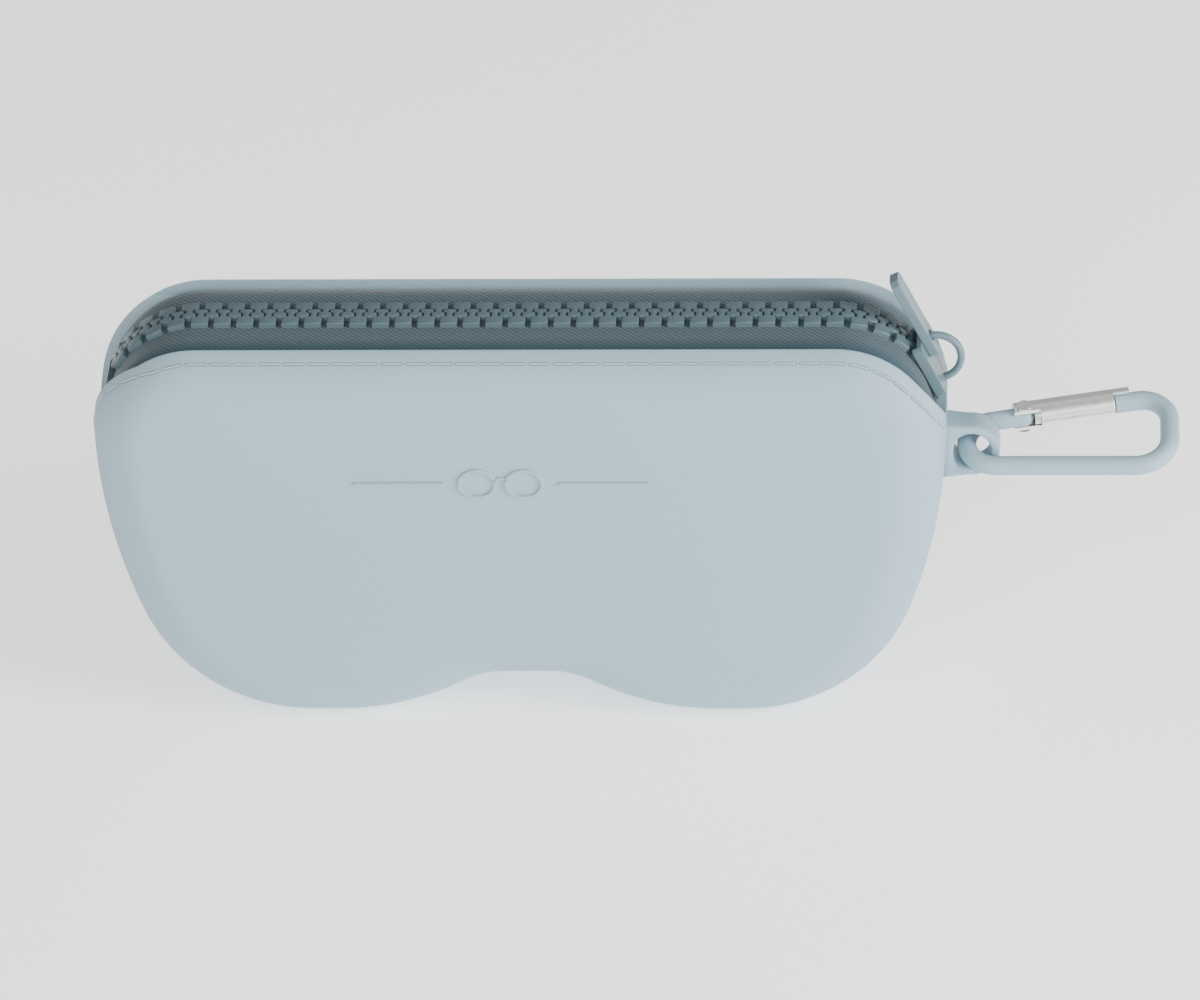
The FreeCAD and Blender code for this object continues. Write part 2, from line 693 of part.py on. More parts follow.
def crown_legs(name, top):
    legs = []
    for side in (-1, 1):
        leg = doc.addObject("Part::Cylinder", "%s_leg_%d" % (name, side + 2))
        leg.Radius = D["crown_wire_radius"]
        drive(leg, "Radius", "Sizes.crown_wire_radius")
        leg.Height = top - PLATE_TOP + LEG_SINK
        leg.Placement.Base = V(CROWN_X + side * D["crown_radius"], 0, PLATE_TOP - LEG_SINK)
        legs.append(leg)
    return legs


arch = doc.addObject("Part::Torus", "crown_arch")
arch.Radius1 = D["crown_radius"]
arch.Radius2 = D["crown_wire_radius"]
arch.Angle3 = 180
drive(arch, "Radius1", "Sizes.crown_radius")
drive(arch, "Radius2", "Sizes.crown_wire_radius")
arch.Placement = FreeCAD.Placement(
    V(CROWN_X, 0, PLATE_TOP + CROWN_RISE), FreeCAD.Rotation(V(1, 0, 0), 90)
)
slider_crown = fuse("slider_crown", [arch] + crown_legs("crown", PLATE_TOP + CROWN_RISE))
socket = fuse("crown_sockets", crown_legs("socket", PLATE_TOP + 0.2))
slider_body = boolean("Cut", "slider_body", slider_blank, socket)

pull_tab = new_body("pull_tab")
TAB_LOW = PLATE_TOP + 0.1
tab_sketch = new_sketch(pull_tab, "tab_plan", "XY_Plane", lifted(TAB_LOW))
half_tab = D["pull_width"] / 2
near_x = CROWN_X - 1.2
far_x = near_x - D["pull_length"]
tab_plan = [(near_x, half_tab - 0.6), (near_x - 0.6, half_tab), (far_x + 0.9, half_tab)]
tab_plan += [(far_x, half_tab - 0.9)]
tab_plan += [(x, -y) for x, y in reversed(tab_plan)]
polygon(tab_sketch, tab_plan)
tab_mid = TAB_LOW + D["pull_thickness"] / 2 - PLATE_TOP - CROWN_RISE
eye_x = CROWN_X - math.sqrt(D["crown_radius"] ** 2 - tab_mid ** 2)
circle(tab_sketch, eye_x, 0, 1.1)
pad(pull_tab, "tab_pad", tab_sketch, D["pull_thickness"], "Sizes.pull_thickness")
doc.recompute()


# ---------------------------------------------------------------- spring clip
CLIP_AT = FreeCAD.Placement(
    V(0, 0, D["loop_centre_z"]), FreeCAD.Rotation(V(1, 0, 0), D["clip_tilt"])
)
WIRE = D["clip_wire_radius"]
SPINE = -D["clip_spine_offset"]
LEFT_X = 81.6 + D["clip_spine_offset"]
RIGHT_X = 81.6 + D["clip_length"]
LOW_BEND = 6.5
HIGH_BEND = 5.0
GATE_SLOPE = D["clip_gate_slope"]
slope = math.radians(GATE_SLOPE)
along = V(math.cos(slope), math.sin(slope), 0)
outward = V(-math.sin(slope), math.cos(slope), 0)
arm_start = V(LEFT_X, 0, 0) + outward * D["clip_spine_offset"]
rivet = arm_start + along * ((92.1 - arm_start.x) / along.x)
# the upper bend touches both the sloping gate line and the upright end
bend_x = RIGHT_X - HIGH_BEND
line_x = bend_x + HIGH_BEND * outward.x
line_y = arm_start.y + (line_x - arm_start.x) * math.tan(slope)
bend_y = line_y - HIGH_BEND * outward.y
NOSE_X = 108.8
nose = arm_start + along * ((NOSE_X - arm_start.x) / along.x)


def rod(name, start, end, radius, expression=None):
    piece = doc.addObject("Part::Cylinder", name)
    piece.Radius = radius
    if expression:
        drive(piece, "Radius", expression)
    piece.Height = (end - start).Length
    piece.Placement = FreeCAD.Placement(start, FreeCAD.Rotation(V(0, 0, 1), end - start))
    return piece


def bend(name, x, y, radius, first, sweep):
    piece = doc.addObject("Part::Torus", name)
    piece.Radius1 = radius
    piece.Radius2 = WIRE
    drive(piece, "Radius2", "Sizes.clip_wire_radius")
    piece.Angle3 = sweep
    piece.Placement = FreeCAD.Placement(V(x, y, 0), FreeCAD.Rotation(V(0, 0, 1), first))
    return piece


WIRE_SIZE = "Sizes.clip_wire_radius"
low_x = RIGHT_X - LOW_BEND
arm_end = doc.addObject("Part::Sphere", "clip_arm_end")
arm_end.Radius = WIRE
drive(arm_end, "Radius", WIRE_SIZE)
arm_end.Placement.Base = rivet
clip_parts = [
    rod("clip_spine", V(LEFT_X, SPINE, 0), V(low_x, SPINE, 0), WIRE, WIRE_SIZE),
    bend("clip_left_bend", LEFT_X, 0, -SPINE, 90 + GATE_SLOPE, 180 - GATE_SLOPE),
    rod("clip_arm", arm_start, rivet, WIRE, WIRE_SIZE),
    arm_end,
    bend("clip_low_bend", low_x, SPINE + LOW_BEND, LOW_BEND, -90, 90),
    rod("clip_end", V(RIGHT_X, SPINE + LOW_BEND, 0), V(RIGHT_X, bend_y, 0), WIRE, WIRE_SIZE),
    bend("clip_high_bend", bend_x, bend_y, HIGH_BEND, 0, 90 + GATE_SLOPE),
    rod("clip_nose", nose, V(line_x, line_y, 0), WIRE, WIRE_SIZE),
]
clip_wire = fuse("clip_wire", clip_parts)
rivet_hole = rod(
    "rivet_hole", rivet + V(0, 0, -4), rivet + V(0, 0, 4), D["rivet_radius"] + 0.05
)
clip_bored = boolean("Cut", "carabiner_frame", clip_wire, rivet_hole)

GATE_AT = FreeCAD.Placement(rivet, FreeCAD.Rotation(V(0, 0, 1), GATE_SLOPE))
GATE_START = -1.9
GATE_END = GATE_START + D["gate_length"]
NOSE_AT = (nose - rivet).Length


def box(name, x0, x1, y0, y1, z0, z1):
    piece = doc.addObject("Part::Box", name)
    piece.Length = x1 - x0
    piece.Width = y1 - y0
    piece.Height = z1 - z0
    piece.Placement = GATE_AT.multiply(FreeCAD.Placement(V(x0, y0, z0), FreeCAD.Rotation()))
    return piece


def gate_rod(name, start, end, size):
    """A round bar along the gate; size is a number or the alias of one."""
    first = GATE_AT.multVec(V(start, 0, 0))
    last = GATE_AT.multVec(V(end, 0, 0))
    if isinstance(size, str):
        return rod(name, first, last, D[size], "Sizes." + size)
    return rod(name, first, last, size)


gate_outer = gate_rod("gate_outer", GATE_START, GATE_END, "gate_outer_radius")
gate_bore = gate_rod("gate_bore", GATE_START - 1, GATE_END + 1, "gate_inner_radius")
gate_cuts = fuse(
    "gate_cuts",
    [
        gate_bore,
        box("gate_hinge_cut", GATE_START - 1, 2.9, -4, -1.0, -4, 4),
        box("gate_nose_cut", NOSE_AT - 0.4, GATE_END + 1, -4, 0.2, -4, 4),
        box("gate_nose_slot", NOSE_AT - 0.4, GATE_END + 1, 0, 4, -1.9, 1.9),
        rod("gate_rivet_hole", rivet + V(0, 0, -5), rivet + V(0, 0, 5), D["rivet_radius"]),
    ],
)
gate_tube = boolean("Cut", "gate_tube", gate_outer, gate_cuts)

RIVET_HALF = D["gate_outer_radius"] + 0.05
RIVET_HEAD = 0.35
shank_top = rivet + V(0, 0, RIVET_HALF)
shank_foot = rivet - V(0, 0, RIVET_HALF)
head_up = V(0, 0, RIVET_HEAD)
gate_rivet = fuse(
    "gate_rivet",
    [
        rod("rivet_shank", shank_foot, shank_top, D["rivet_radius"], "Sizes.rivet_radius"),
        rod("rivet_head", shank_top, shank_top + head_up, 1.25),
        rod("rivet_tail", shank_foot - head_up, shank_foot, 1.25),
    ],
)

PLUNGER_START = WIRE + 0.05
spring_plunger = fuse(
    "spring_plunger",
    [
        gate_rod("plunger_head", PLUNGER_START, PLUNGER_START + 1.2, 1.7),
        gate_rod("plunger_stem", PLUNGER_START + 1.2, PLUNGER_START + 3.4, 0.8),
    ],
)
gate_seat = gate_rod("spring_seat", NOSE_AT - 2.4, NOSE_AT - 1.2, "gate_inner_radius")

SPRING_WIRE = 0.22
spring_start = PLUNGER_START + 1.2 + SPRING_WIRE
spring_end = NOSE_AT - 2.4 - SPRING_WIRE
helix = doc.addObject("Part::Helix", "spring_path")
helix.Radius = 1.35
helix.Pitch = (spring_end - spring_start) / 9
helix.Height = spring_end - spring_start
spring = doc.addObject("Part::Feature", "gate_spring")
doc.recompute()
start_edge = helix.Shape.Edges[0]
first_turn = start_edge.FirstParameter
ring = Part.makeCircle(
    SPRING_WIRE, start_edge.valueAt(first_turn), start_edge.tangentAt(first_turn)
)
coil = Part.Wire(helix.Shape.Edges).makePipeShell([Part.Wire([ring])], True, True)
coil.Placement = GATE_AT.multiply(
    FreeCAD.Placement(V(spring_start, 0, 0), FreeCAD.Rotation(V(0, 0, 1), V(1, 0, 0)))
)
spring.Shape = coil
doc.recompute()

# ---------------------------------------------------------------- place and write
STILL = FreeCAD.Placement()
nodes = [
    (silicone_body, STILL),
    (front_tape, STILL),
    (back_tape, STILL),
    (front_teeth, STILL),
    (back_teeth, STILL),
    (threads[0], STILL),
    (threads[1], STILL),
    (front_stop, STILL),
    (back_stop, STILL),
    (bottom_stop, STILL),
    (slider_body, SLIDER_AT),
    (slider_crown, SLIDER_AT),
    (pull_tab, SLIDER_AT),
    (clip_bored, CLIP_AT),
    (gate_tube, CLIP_AT),
    (gate_rivet, CLIP_AT),
    (spring_plunger, CLIP_AT),
    (gate_seat, CLIP_AT),
    (spring, CLIP_AT),
]
for node, place in nodes:
    node.Placement = moved(place.multiply(node.Placement))
    node.Label = node.Name
doc.recompute()

for obj in doc.Objects:
    if "Invalid" in obj.State or "Error" in obj.State:
        raise SystemExit("%s is broken: %s" % (obj.Name, obj.State))
os.makedirs("parts", exist_ok=True)
for node, place in nodes:
    if node.Shape.isNull() or not node.Shape.isValid():
        raise SystemExit("%s has no valid shape" % node.Name)
    box_ = node.Shape.BoundBox
    print(
        "%-18s solids %3d volume %10.2f  x %7.2f..%7.2f y %6.2f..%6.2f z %6.2f..%6.2f"
        % (
            node.Label, len(node.Shape.Solids), node.Shape.Volume,
            box_.XMin, box_.XMax, box_.YMin, box_.YMax, box_.ZMin, box_.ZMax,
        )
    )
    node.Shape.exportStep("parts/%s.step" % node.Label)
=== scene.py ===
import math

import bmesh
import bpy
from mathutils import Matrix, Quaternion, Vector


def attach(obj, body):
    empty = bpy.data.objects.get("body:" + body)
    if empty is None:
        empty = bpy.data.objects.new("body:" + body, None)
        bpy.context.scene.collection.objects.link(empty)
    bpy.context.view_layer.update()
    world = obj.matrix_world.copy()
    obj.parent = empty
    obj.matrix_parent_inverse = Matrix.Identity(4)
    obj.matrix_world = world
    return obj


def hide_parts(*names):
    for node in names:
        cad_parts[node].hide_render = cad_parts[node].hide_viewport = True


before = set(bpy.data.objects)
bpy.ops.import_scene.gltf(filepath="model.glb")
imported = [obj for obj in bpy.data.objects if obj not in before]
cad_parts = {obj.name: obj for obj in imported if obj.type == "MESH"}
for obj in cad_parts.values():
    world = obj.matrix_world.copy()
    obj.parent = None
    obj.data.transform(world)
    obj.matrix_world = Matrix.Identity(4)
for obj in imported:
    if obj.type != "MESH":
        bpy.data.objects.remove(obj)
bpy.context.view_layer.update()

MM = 0.001
SHIFT = -21.29
HALF_W, TOP, HALF_D = 78.0, 79.7, 18.0
EDGE = 10.0
CORNER, SIDE, LOBE_OUT, LOBE_IN = 20.0, 110.0, 33.0, 47.4
LOBE_X, NOTCH_R, NOTCH_Z = 35.0, 15.0, 8.25
WALL, TAPE = 2.0, 0.8
CORNER_X, CORNER_Z = HALF_W - CORNER, TOP - CORNER
SLOT_HALF, SLOT_LOW = 13.0, 59.2
TAPE_GAP, END_GAP = 1.4, 0.12
TAPER_R, TAPER_Z = 8.5, 75.0
SEAM_HALF, SEAM_DROP = 15.2, 2.8
LOOP_X, LOOP_Z, LOOP_HOLE, LOOP_R = 82.6, 50.8, 3.4, 5.2
EMBLEM_X, EMBLEM_Z, EMBLEM_PROUD = -3.0, 53.0, 0.4
TOOTH_PITCHES = 28
PITCH = 2 * CORNER_X / TOOTH_PITCHES
TOOTH_R = CORNER - WALL
TURN = PITCH / (TOOTH_R - TAPE / 2)


def to_frame(p):
    """Millimetres about the case's own middle to metres in the row frame."""
    return Vector(((p[0] + SHIFT) * MM, p[1] * MM, p[2] * MM))


# ---------------------------------------------------------------- materials
def material(name, color, rough, metal=0.0, spec=0.5, sheen=0.0):
    mat = bpy.data.materials.new(name)
    mat.use_nodes = True
    nodes = mat.node_tree.nodes
    shader = nodes["Principled BSDF"]
    shader.inputs["Base Color"].default_value = (*color, 1)
    shader.inputs["Roughness"].default_value = rough
    shader.inputs["Metallic"].default_value = metal
    shader.inputs["Specular IOR Level"].default_value = spec
    shader.inputs["Sheen Weight"].default_value = sheen
    return mat, mat.node_tree, shader


def link(tree, a, out, b, inp):
    tree.links.new(a.outputs[out], b.inputs[inp])


def noise_of(tree, scale, detail=4.0, rough=0.5):
    coords = tree.nodes.new("ShaderNodeTexCoord")
    noise = tree.nodes.new("ShaderNodeTexNoise")
    noise.inputs["Scale"].default_value = scale
    noise.inputs["Detail"].default_value = detail
    noise.inputs["Roughness"].default_value = rough
    link(tree, coords, "Object", noise, "Vector")
    return noise


def add_bump(tree, shader, source, out, strength, distance, edge=0.0):
    """A fine bump; with an edge radius, sharp edges are shaded round as well."""
    bump = tree.nodes.new("ShaderNodeBump")
    bump.inputs["Strength"].default_value = strength
    bump.inputs["Distance"].default_value = distance
    link(tree, source, out, bump, "Height")
    if edge:
        bevel = tree.nodes.new("ShaderNodeBevel")
        bevel.samples = 6
        bevel.inputs["Radius"].default_value = edge
        link(tree, bevel, "Normal", bump, "Normal")
    link(tree, bump, "Normal", shader, "Normal")


def vary(tree, shader, socket, noise, low, high):
    """Let a noise move one socket between low and high."""
    ramp = tree.nodes.new("ShaderNodeMapRange")
    ramp.inputs["From Min"].default_value = 0.3
    ramp.inputs["From Max"].default_value = 0.7
    ramp.inputs["To Min"].default_value = low
    ramp.inputs["To Max"].default_value = high
    link(tree, noise, "Fac", ramp, "Value")
    link(tree, ramp, "Result", shader, socket)


def vary_color(tree, shader, noise, low, high):
    mix = tree.nodes.new("ShaderNodeMix")
    mix.data_type = "RGBA"
    mix.inputs["A"].default_value = (*low, 1)
    mix.inputs["B"].default_value = (*high, 1)
    tree.links.new(noise.outputs["Fac"], mix.inputs["Factor"])
    tree.links.new(mix.outputs["Result"], shader.inputs["Base Color"])


def scaled(color, k):
    return tuple(c * k for c in color)


SILICONE = (0.270, 0.385, 0.452)
SLATE = (0.028, 0.060, 0.078)

silicone, tree, shader = material("silicone", SILICONE, 0.55, spec=0.35)
vary(tree, shader, "Roughness", noise_of(tree, 60), 0.50, 0.60)
vary_color(tree, shader, noise_of(tree, 14), scaled(SILICONE, 0.985), scaled(SILICONE, 1.015))
add_bump(tree, shader, noise_of(tree, 2600, 2), "Fac", 0.05, 0.0001, 0.00035)

fabric, tree, shader = material("zip_tape", SLATE, 0.9, spec=0.2, sheen=0.25)
coords = tree.nodes.new("ShaderNodeTexCoord")
ribs = tree.nodes.new("ShaderNodeTexWave")
ribs.wave_type = "BANDS"
ribs.bands_direction = "DIAGONAL"
ribs.inputs["Scale"].default_value = 520
ribs.inputs["Distortion"].default_value = 0.6
ribs.inputs["Detail"].default_value = 1.0
link(tree, coords, "Object", ribs, "Vector")
weave = noise_of(tree, 1500, 3)
both = tree.nodes.new("ShaderNodeMath")
both.operation = "ADD"
link(tree, ribs, "Fac", both, 0)
link(tree, weave, "Fac", both, 1)
add_bump(tree, shader, both, "Value", 0.45, 0.00012)
vary_color(tree, shader, weave, scaled(SLATE, 0.86), scaled(SLATE, 1.14))

plastic, tree, shader = material("zip_teeth", (0.078, 0.122, 0.143), 0.42, spec=0.45)
add_bump(tree, shader, noise_of(tree, 900, 2), "Fac", 0.06, 0.0001)
vary(tree, shader, "Roughness", noise_of(tree, 200), 0.36, 0.48)

thread_mat, tree, shader = material("seam_thread", (0.36, 0.43, 0.47), 0.85, spec=0.2, sheen=0.2)
twist = tree.nodes.new("ShaderNodeTexWave")
twist.inputs["Scale"].default_value = 900
coords = tree.nodes.new("ShaderNodeTexCoord")
link(tree, coords, "Object", twist, "Vector")
add_bump(tree, shader, twist, "Fac", 0.5, 0.0001)

paint, tree, shader = material("slider_paint", (0.105, 0.165, 0.190), 0.38, spec=0.5)
add_bump(tree, shader, noise_of(tree, 500, 2), "Fac", 0.05, 0.0001, 0.00025)
vary(tree, shader, "Roughness", noise_of(tree, 150), 0.32, 0.44)

coat, tree, shader = material("clip_paint", (0.268, 0.380, 0.436), 0.5, spec=0.4)
add_bump(tree, shader, noise_of(tree, 400, 2), "Fac", 0.04, 0.0001)
vary(tree, shader, "Roughness", noise_of(tree, 90), 0.45, 0.56)

alloy, tree, shader = material("gate_metal", (0.86, 0.85, 0.84), 0.3, metal=1.0)
brush = noise_of(tree, 700, 3)
vary(tree, shader, "Roughness", brush, 0.26, 0.40)
add_bump(tree, shader, brush, "Fac", 0.08, 0.00005, 0.0002)

steel, tree, shader = material("steel", (0.70, 0.70, 0.70), 0.28, metal=1.0)
vary(tree, shader, "Roughness", noise_of(tree, 600), 0.24, 0.36)


# ---------------------------------------------------------------- mesh helpers
def make_object(name, verts, faces, mat, smooth_angle=35.0):
    mesh = bpy.data.meshes.new(name)
    mesh.from_pydata([to_frame(v) for v in verts], [], faces)
    mesh.update()
    bm = bmesh.new()
    bm.from_mesh(mesh)
    bmesh.ops.recalc_face_normals(bm, faces=bm.faces)
    bm.to_mesh(mesh)
    bm.free()
    obj = bpy.data.objects.new(name, mesh)
    bpy.context.scene.collection.objects.link(obj)
    if mat:
        mesh.materials.append(mat)
    smooth(obj, smooth_angle)
    return obj


def smooth(obj, angle=35.0):
    mesh = obj.data
    mesh.polygons.foreach_set("use_smooth", [True] * len(mesh.polygons))
    mesh.set_sharp_from_angle(angle=math.radians(angle))
    mesh.update()


def apply_modifiers(obj):
    graph = bpy.context.evaluated_depsgraph_get()
    mesh = bpy.data.meshes.new_from_object(obj.evaluated_get(graph))
    old = obj.data
    obj.modifiers.clear()
    obj.data = mesh
    bpy.data.meshes.remove(old)


def cut(obj, tool):
    mod = obj.modifiers.new("cut", "BOOLEAN")
    mod.operation = "DIFFERENCE"
    mod.solver = "EXACT"
    mod.object = tool
    apply_modifiers(obj)
    mesh = tool.data
    bpy.data.objects.remove(tool)
    bpy.data.meshes.remove(mesh)


def loft(rings, close_ends=True):
    """Closed rings of equal length joined one to the next."""
    count = len(rings[0])
    verts = [p for ring in rings for p in ring]
    faces = []
    for k in range(len(rings) - 1):
        for i in range(count):
            j = (i + 1) % count
            faces.append((k * count + i, k * count + j, (k + 1) * count + j, (k + 1) * count + i))
    if close_ends:
        faces.append(tuple(range(count)))
        faces.append(tuple(range(len(verts) - count, len(verts))))
    return verts, faces


def merge(parts):
    verts, faces = [], []
    for part_verts, part_faces in parts:
        base = len(verts)
        verts += part_verts
        faces += [tuple(base + i for i in face) for face in part_faces]
    return verts, faces


# ---------------------------------------------------------------- case form
def arc(cx, cz, radius, first, last, steps):
    return [
        (
            cx + radius * math.cos(first + (last - first) * i / steps),
            cz + radius * math.sin(first + (last - first) * i / steps),
        )
        for i in range(steps + 1)
    ]


def outline(inset):
    """The two-lobed outline pulled in by inset, anticlockwise from the top middle's right."""
    side_x = HALF_W - SIDE
    lean = math.asin((CORNER_Z - LOBE_OUT) / (SIDE - LOBE_OUT))
    lobe_x = side_x + (SIDE - LOBE_OUT) * math.cos(lean)
    both_r = LOBE_IN + NOTCH_R
    drop = both_r - NOTCH_Z
    notch_x = LOBE_X - math.sqrt(both_r**2 - drop**2)
    rise = math.atan2(drop, LOBE_X - notch_x)
    quarter = math.pi / 2
    half = [(CORNER_X * k / 14, TOP - inset) for k in range(14)]
    half += arc(CORNER_X, CORNER_Z, CORNER - inset, quarter, 0, 22)
    half += arc(side_x, CORNER_Z, SIDE - inset, 0, -lean, 16)[1:]
    half += arc(lobe_x, LOBE_OUT, LOBE_OUT - inset, -lean, -quarter, 20)[1:]
    half += arc(LOBE_X, LOBE_IN, LOBE_IN - inset, -quarter, rise - math.pi, 14)
    half += arc(notch_x, NOTCH_Z - NOTCH_R, NOTCH_R + inset, rise, quarter, 8)[1:]
    half.append((0.0, NOTCH_Z + inset))
    left = [(-x, z) for x, z in reversed(half[1:-1])]
    return half + left


def rounded_form(inset, steps=14):
    """The whole form pulled in by inset, with its front and back edges rounded."""
    rings = []
    radius = EDGE - inset
    flat = HALF_D - EDGE
    for side in (-1, 1):
        order = range(steps + 1) if side < 0 else range(steps, -1, -1)
        for k in order:
            lean = math.pi / 2 * k / steps
            pull = inset + radius * (1 - math.sin(lean))
            y = side * (flat + radius * math.cos(lean))
            rings.append([(x, y, z) for x, z in outline(pull)])
    return loft(rings)


def slot_profile(half, low, taper):
    """The zip slot seen from the end; taper is the end radius and the height it narrows from."""
    top = TOP + 6
    radius = taper[0] if taper else half
    centre = low + radius
    points = [(-half, top)]
    start = 0.0
    if taper:
        points.append((-half, taper[1]))
        span = math.hypot(half, taper[1] - centre)
        start = math.atan2(taper[1] - centre, half) - math.acos(radius / span)
    points += [(y, z) for y, z in arc(0, centre, radius, math.pi - start, 2 * math.pi + start, 40)]
    if taper:
        points.append((half, taper[1]))
    points.append((half, top))
    return points


def prism(profile, x0, x1):
    return loft([[(x, y, z) for y, z in profile] for x in (x0, x1)])


def surface_point(side, turn, across, inset=0.0):
    """Point and outward normal on the rounded top edge, turn radians down round a corner."""
    flat = HALF_D - EDGE
    radius = EDGE - inset
    lean = math.asin(min(1.0, max(0.0, abs(across) - flat) / radius))
    reach = CORNER - inset - radius * (1 - math.cos(lean))
    out = Vector((side * math.sin(turn), 0, math.cos(turn)))
    point = Vector((side * CORNER_X, across, CORNER_Z)) + out * reach
    normal = out * math.cos(lean)
    normal.y = math.copysign(math.sin(lean), across)
    return point, normal


def below_corner(side, height, across, inset=0.0):
    fall = height - CORNER_Z
    reach = math.sqrt((SIDE - inset) ** 2 - fall**2)
    normal = Vector((side * reach, 0, fall)).normalized()
    return Vector((side * (HALF_W - SIDE + reach), across, height)), normal


def seam_end(side, sign):
    low = SLOT_LOW - SEAM_DROP
    end_half = TAPER_R + SEAM_DROP if side < 0 else SEAM_HALF
    centre = low + end_half
    points = []
    for step in range(1, 40):
        turn = math.radians(2.5 * step)
        across = SEAM_HALF
        for _ in range(30):
            point, normal = surface_point(side, turn, sign * across)
            if point.z >= TAPER_Z or (side > 0 and point.z >= centre):
                wanted = SEAM_HALF
            elif point.z >= centre:
                share = (TAPER_Z - point.z) / (TAPER_Z - centre)
                wanted = SEAM_HALF + (end_half - SEAM_HALF) * share
            else:
                wanted = math.sqrt(max(0.0, end_half**2 - (centre - point.z) ** 2))
            across += 0.5 * (wanted - across)
        if across < 6.0 or point.z < CORNER_Z:
            break
        points.append((point, normal))
    for across in (5.0, 3.2, 1.5, 0.4):
        height = centre - math.sqrt(end_half**2 - across**2)
        if height < CORNER_Z:
            points.append(below_corner(side, height, sign * across))
    return points


def seam_line(sign):
    ends = [surface_point(side, 0.0, sign * SEAM_HALF) for side in (-1, 1)]
    return list(reversed(seam_end(-1, sign))) + ends + seam_end(1, sign)


def at_distance(line, wanted):
    for (here, normal), (after, other) in zip(line, line[1:]):
        length = (after - here).length
        if wanted <= length:
            share = wanted / length
            return here.lerp(after, share), normal.lerp(other, share).normalized()
        wanted -= length
    return line[-1]


STITCH_PITCH, STITCH = 4.46, 3.5


def stitches(sign):
    """The ends of every stitch along one seam, each a list of (point, normal)."""
    line = seam_line(sign)
    total = sum((b[0] - a[0]).length for a, b in zip(line, line[1:]))
    count = int((total - STITCH) / STITCH_PITCH) + 1
    first = (total - (count - 1) * STITCH_PITCH - STITCH) / 2
    result = []
    for i in range(count):
        start = first + i * STITCH_PITCH
        result.append([at_distance(line, start + STITCH * k / 4) for k in range(5)])
    return result


def tube(points, radius, sides=10):
    """A round rod through points given as (point, up) pairs, with small domed ends."""
    rings = []
    count = len(points)
    for k, (point, up) in enumerate(points):
        before = points[max(k - 1, 0)][0]
        after = points[min(k + 1, count - 1)][0]
        way = (after - before).normalized()
        side = way.cross(up).normalized()
        real_up = side.cross(way)
        steps = [(0.0, 1.0)]
        if k == 0:
            steps = [(-radius * 0.9, 0.35), (-radius * 0.5, 0.85), (0.0, 1.0)]
        elif k == count - 1:
            steps = [(0.0, 1.0), (radius * 0.5, 0.85), (radius * 0.9, 0.35)]
        for forward, share in steps:
            ring = []
            for i in range(sides):
                angle = 2 * math.pi * i / sides
                spoke = side * math.cos(angle) + real_up * math.sin(angle)
                ring.append(tuple(point + way * forward + spoke * radius * share))
            rings.append(ring)
    return loft(rings)


# ---------------------------------------------------------------- silicone moulding
body = make_object("case_moulding", *rounded_form(0.0), silicone)
hollow = make_object("hollow", *rounded_form(WALL), None)
cut(body, hollow)
right = make_object("right", *prism(slot_profile(SLOT_HALF, SLOT_LOW, None), 0, HALF_W + 9), None)
cut(body, right)
left_profile = slot_profile(SLOT_HALF, SLOT_LOW, (TAPER_R, TAPER_Z))
left = make_object("left", *prism(left_profile, -HALF_W - 9, 0), None)
cut(body, left)
trenches = []
for sign in (-1, 1):
    for stitch in stitches(sign):
        trenches.append(tube([(p + n * 0.06, n) for p, n in stitch], 0.34, 8))
cut(body, make_object("trenches", *merge(trenches), None))


def clip_loop():
    """The flared eye on the right side wall, a ring whose left half runs into the wall."""
    cx, cz, hole = LOOP_X, LOOP_Z, LOOP_HOLE
    rings = []
    for i in range(72):
        angle = 2 * math.pi * i / 72
        ca, sa = math.cos(angle), math.sin(angle)
        reach = LOOP_R
        half = 3.0
        if ca < 0:
            wall_reach = (cx - 76.9) / max(1e-6, -ca)
            flank = (LOOP_R + 1.1 * (ca * ca)) / max(1e-6, abs(sa))
            reach = max(LOOP_R, min(wall_reach, flank))
            half = 3.0 + 0.9 * ca * ca
        ring = []
        for k in range(24):
            t = 2 * math.pi * k / 24
            power = 0.45
            u = math.copysign(abs(math.cos(t)) ** power, math.cos(t))
            v = math.copysign(abs(math.sin(t)) ** power, math.sin(t))
            middle = (hole + reach) / 2
            r = middle + u * (reach - hole) / 2
            ring.append((cx + r * ca, v * half, cz + r * sa))
        rings.append(ring)
    verts, faces = loft(rings, close_ends=False)
    last = (len(rings) - 1) * 24
    for k in range(24):
        faces.append((last + k, last + (k + 1) % 24, (k + 1) % 24, k))
    return verts, faces


def emblem():
    """Raised spectacles between two fine lines on the front face."""
    parts = []
    cx, cz, front = EMBLEM_X, EMBLEM_Z, -HALF_D
    proud = EMBLEM_PROUD

    def section(width):
        half = [(-width, 0.15), (-width, -proud * 0.6), (-width * 0.6, -proud)]
        return half + [(-a, out) for a, out in reversed(half)]

    for lens in (-1, 1):
        rings = []
        for i in range(64):
            angle = 2 * math.pi * i / 64
            ring = []
            for across, out in section(0.35):
                r = 3.05 + across
                x = cx + lens * 4.3 + r * math.cos(angle) * 1.08
                ring.append((x, front + out, cz + r * math.sin(angle) * 0.92))
            rings.append(ring)
        verts, faces = loft(rings, close_ends=False)
        last = 63 * 6
        faces += [(last + k, last + (k + 1) % 6, (k + 1) % 6, k) for k in range(6)]
        parts.append((verts, faces))
    bridge = []
    for i in range(9):
        angle = math.pi * (0.15 + 0.7 * i / 8)
        x, z = cx + 1.2 * math.cos(angle), cz + 0.4 + 0.7 * math.sin(angle)
        bridge.append([(x + math.cos(angle) * a, front + out, z + math.sin(angle) * a)
                       for a, out in section(0.3)])
    parts.append(loft(bridge))
    for lens in (-1, 1):
        line = []
        for x in (cx + lens * 10.5, cx + lens * 27.0):
            line.append([(x, front + out, cz + a) for a, out in section(0.3)])
        parts.append(loft(line))
    return merge(parts)


